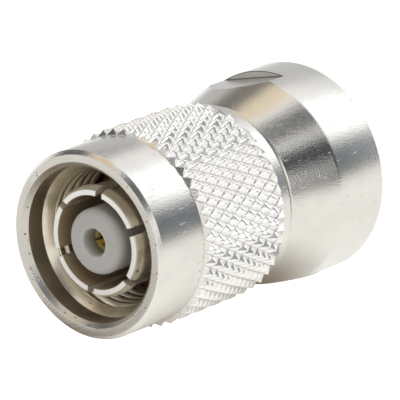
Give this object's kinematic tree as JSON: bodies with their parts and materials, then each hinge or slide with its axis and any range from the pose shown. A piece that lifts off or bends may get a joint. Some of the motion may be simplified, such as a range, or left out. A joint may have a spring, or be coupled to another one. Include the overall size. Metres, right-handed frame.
{
  "type": "coaxial adapter",
  "caption": "Straight coaxial adapter with a knurled threaded coupling nut at its socket end and a smooth threaded coupling nut with wrench flats at its pin end.",
  "frame": {"origin": "centre of the smooth nut's rim, on which the adapter stands", "axes": "+Z along the common axis towards the knurled end; +Y along the normal of a wrench flat"},
  "size_m": [0.016, 0.0162, 0.0245],
  "materials": {
    "body_nickel": "satin nickel plate over brass",
    "knurled_nickel": "satin nickel plate over brass",
    "smooth_nickel": "satin nickel plate over brass",
    "front_contact_nickel": "satin nickel plate over brass",
    "rear_contact_nickel": "satin nickel plate over brass",
    "front_ptfe": "machined, slightly translucent",
    "rear_ptfe": "machined, slightly translucent",
    "bead_ptfe": "machined, slightly translucent",
    "socket_gold": "gold plate over brass",
    "pin_gold": "gold plate over brass",
    "front_seal": "moulded, matt",
    "rear_seal": "moulded, matt",
    "front_ring_bronze": "plain spring bronze",
    "rear_ring_bronze": "plain spring bronze"
  },
  "bodies": {
    "adapter": {"main_body": "body_nickel", "front_outer_contact": "front_contact_nickel", "rear_outer_contact": "rear_contact_nickel", "front_dielectric": "front_ptfe", "rear_dielectric": "rear_ptfe", "centre_bead": "bead_ptfe", "socket_contact": "socket_gold", "pin_contact": "pin_gold", "front_gasket": "front_seal", "rear_gasket": "rear_seal", "front_snap_ring": "front_ring_bronze", "rear_snap_ring": "rear_ring_bronze"},
    "knurled_coupling": {"knurled_nut": "knurled_nickel"},
    "smooth_coupling": {"smooth_nut": "smooth_nickel"}
  },
  "joints": [
    {"name": "knurled_nut_spin", "type": "hinge", "parent": "adapter", "child": "knurled_coupling", "pos_m": [0, 0, 0.0145], "axis": [0, 0, 1], "continuous": true},
    {"name": "smooth_nut_spin", "type": "hinge", "parent": "adapter", "child": "smooth_coupling", "pos_m": [0, 0, 0.0085], "axis": [0, 0, 1], "continuous": true}
  ]
}
